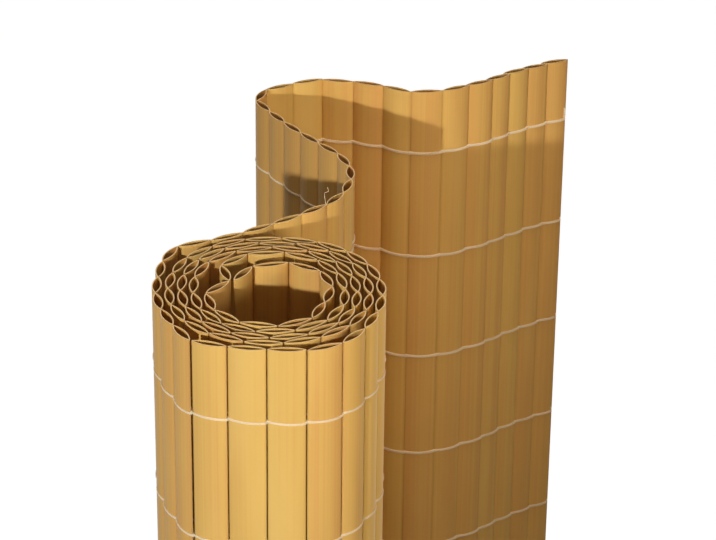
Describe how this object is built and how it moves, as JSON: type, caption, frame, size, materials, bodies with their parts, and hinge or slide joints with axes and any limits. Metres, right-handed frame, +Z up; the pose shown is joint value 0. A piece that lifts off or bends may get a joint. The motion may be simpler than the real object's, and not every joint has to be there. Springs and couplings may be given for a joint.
{
  "type": "pvc screening mat",
  "caption": "Privacy screening mat of hollow lens-section plastic slats bound by rows of cord, standing half rolled up with its free end in an S-bend.",
  "frame": {"origin": "middle of the standing mat's box, on the surface it stands on", "axes": "+Z up along the slats, +X to the right of the picture's view, +Y away from the viewer"},
  "size_m": [0.2066, 0.3668, 0.8],
  "materials": {
    "slat_pvc": "satin bamboo-coloured PVC",
    "cord": "twined off-white nylon"
  },
  "bodies": {
    "root": {"slat_01": "slat_pvc", "slat_02": "slat_pvc", "slat_03": "slat_pvc", "slat_04": "slat_pvc", "slat_05": "slat_pvc", "slat_06": "slat_pvc", "slat_07": "slat_pvc", "slat_08": "slat_pvc", "slat_09": "slat_pvc", "slat_10": "slat_pvc", "slat_11": "slat_pvc", "slat_12": "slat_pvc", "slat_13": "slat_pvc", "slat_14": "slat_pvc", "slat_15": "slat_pvc", "slat_16": "slat_pvc", "slat_17": "slat_pvc", "slat_18": "slat_pvc", "slat_19": "slat_pvc", "slat_20": "slat_pvc", "slat_21": "slat_pvc", "slat_22": "slat_pvc", "slat_23": "slat_pvc", "slat_24": "slat_pvc", "slat_25": "slat_pvc", "slat_26": "slat_pvc", "roll_turn_1": "slat_pvc", "roll_turn_2": "slat_pvc", "roll_turn_3": "slat_pvc", "roll_turn_4": "slat_pvc", "roll_turn_5": "slat_pvc", "binding_cord_01": "cord", "binding_cord_02": "cord", "binding_cord_03": "cord", "binding_cord_04": "cord", "binding_cord_05": "cord", "binding_cord_06": "cord", "binding_cord_07": "cord", "binding_cord_08": "cord", "binding_cord_09": "cord", "binding_cord_10": "cord", "binding_cord_11": "cord", "binding_cord_12": "cord", "binding_cord_13": "cord"}
  },
  "joints": []
}
